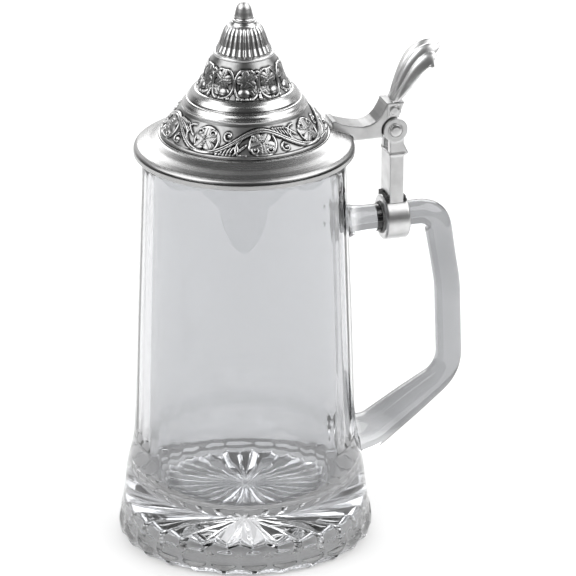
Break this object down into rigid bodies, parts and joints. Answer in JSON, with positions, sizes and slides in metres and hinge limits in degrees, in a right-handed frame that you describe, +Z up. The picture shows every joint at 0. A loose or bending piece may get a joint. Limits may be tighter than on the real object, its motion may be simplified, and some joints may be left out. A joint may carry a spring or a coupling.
{
  "type": "lidded beer stein",
  "caption": "Tall clear glass beer mug with a thick cut foot, an angular handle and a conical pewter lid hinged over the handle and worked by a shell thumb plate.",
  "frame": {"origin": "centre of the foot, on the surface that the mug stands on", "axes": "+Z up along the mug's axis, +X towards the handle, Y along the hinge pin"},
  "size_m": [0.1484, 0.1064, 0.233],
  "materials": {
    "glass": "clear, fire polished, cut facets at the foot",
    "pewter": "satin, turned or cast",
    "pewter_patina": "cast relief, dark patina in the recesses, polished high spots",
    "steel": "satin",
    "solder": "dark, rough",
    "bedding": "dark, dull"
  },
  "bodies": {
    "mug": {"glass_body": "glass", "glass_handle": "glass", "handle_collar": "pewter", "collar_bedding": "bedding", "hinge_post": "pewter", "solder_lid_side": "solder", "solder_grip_side": "solder", "hinge_pin": "steel", "pin_cap_front": "steel", "pin_cap_rear": "steel"},
    "lid": {"lid_brim": "pewter", "brim_bead": "pewter", "lower_frieze": "pewter_patina", "lid_cornice": "pewter", "upper_frieze": "pewter_patina", "fluted_cap": "pewter_patina", "finial_collar": "pewter", "finial_knob": "pewter", "finial_stud": "steel", "lid_shank": "pewter", "thumblift": "pewter"}
  },
  "joints": [
    {"name": "lid_hinge", "type": "hinge", "parent": "mug", "child": "lid", "pos_m": [0.0634, 0, 0.1724], "axis": [0, 1, 0], "range_deg": [0, 110]}
  ]
}
